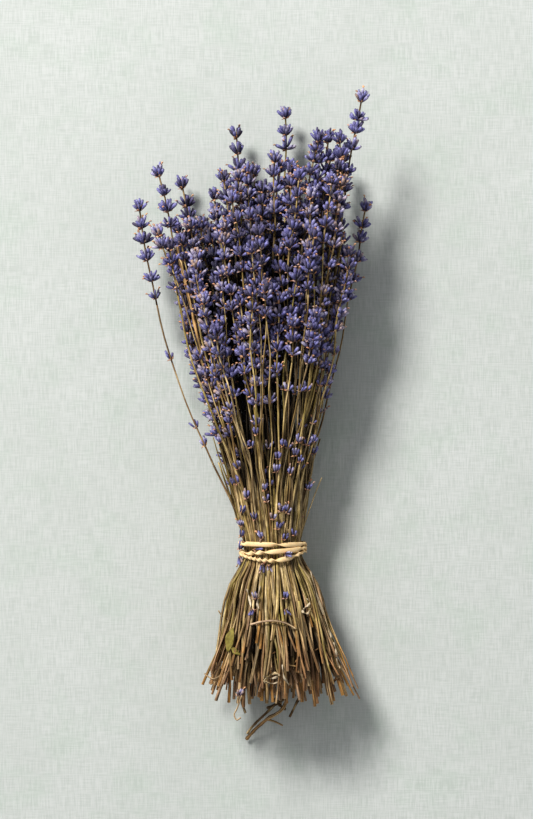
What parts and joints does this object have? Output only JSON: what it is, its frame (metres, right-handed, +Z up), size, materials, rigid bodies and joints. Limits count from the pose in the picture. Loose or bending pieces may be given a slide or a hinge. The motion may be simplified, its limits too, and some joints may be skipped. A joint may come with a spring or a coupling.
{
  "type": "dried lavender bunch",
  "caption": "Bunch of dried lavender lying down, flower heads fanned out at one end and cut stems at the other, tied at the neck with a wound rubber band.",
  "frame": {"origin": "On the surface that the bunch lies on, under the middle of its bounding box", "axes": "+Y along the bunch from the cut ends to the flowers, +Z up from the surface, +X to the right when the flowers point away"},
  "size_m": [0.1482, 0.401, 0.0756],
  "materials": {
    "lavender_bud": "matte",
    "dried_stem": "matte",
    "woody_stem": "matte",
    "rubber_band": "satin",
    "dry_leaf": "matte",
    "straw": "matte"
  },
  "bodies": {
    "root": {"stem_bundle_1": "dried_stem", "stem_bundle_2": "dried_stem", "stem_bundle_3": "dried_stem", "stem_bundle_4": "dried_stem", "stem_bundle_5": "dried_stem", "stem_bundle_6": "dried_stem", "stem_bundle_7": "dried_stem", "stem_bundle_8": "dried_stem", "inner_stems": "woody_stem", "flower_head_01": "lavender_bud", "flower_head_02": "lavender_bud", "flower_head_03": "lavender_bud", "flower_head_04": "lavender_bud", "flower_head_05": "lavender_bud", "flower_head_06": "lavender_bud", "flower_head_07": "lavender_bud", "flower_head_08": "lavender_bud", "flower_head_09": "lavender_bud", "flower_head_10": "lavender_bud", "flower_head_11": "lavender_bud", "flower_head_12": "lavender_bud", "flower_head_13": "lavender_bud", "flower_head_14": "lavender_bud", "flower_head_15": "lavender_bud", "flower_head_16": "lavender_bud", "flower_head_17": "lavender_bud", "flower_head_18": "lavender_bud", "flower_head_19": "lavender_bud", "flower_head_20": "lavender_bud", "flower_head_21": "lavender_bud", "flower_head_22": "lavender_bud", "flower_head_23": "lavender_bud", "flower_head_24": "lavender_bud", "flower_head_25": "lavender_bud", "flower_head_26": "lavender_bud", "flower_head_27": "lavender_bud", "flower_head_28": "lavender_bud", "flower_head_29": "lavender_bud", "flower_head_30": "lavender_bud", "flower_head_31": "lavender_bud", "flower_head_32": "lavender_bud", "flower_head_33": "lavender_bud", "flower_head_34": "lavender_bud", "flower_head_35": "lavender_bud", "flower_head_36": "lavender_bud", "flower_head_37": "lavender_bud", "flower_head_38": "lavender_bud", "flower_head_39": "lavender_bud", "flower_head_40": "lavender_bud", "flower_head_41": "lavender_bud", "flower_head_42": "lavender_bud", "flower_head_43": "lavender_bud", "flower_head_44": "lavender_bud", "flower_head_45": "lavender_bud", "flower_head_46": "lavender_bud", "flower_head_47": "lavender_bud", "flower_head_48": "lavender_bud", "rubber_band": "rubber_band", "dry_leaf": "dry_leaf", "loose_stem": "straw"}
  },
  "joints": []
}
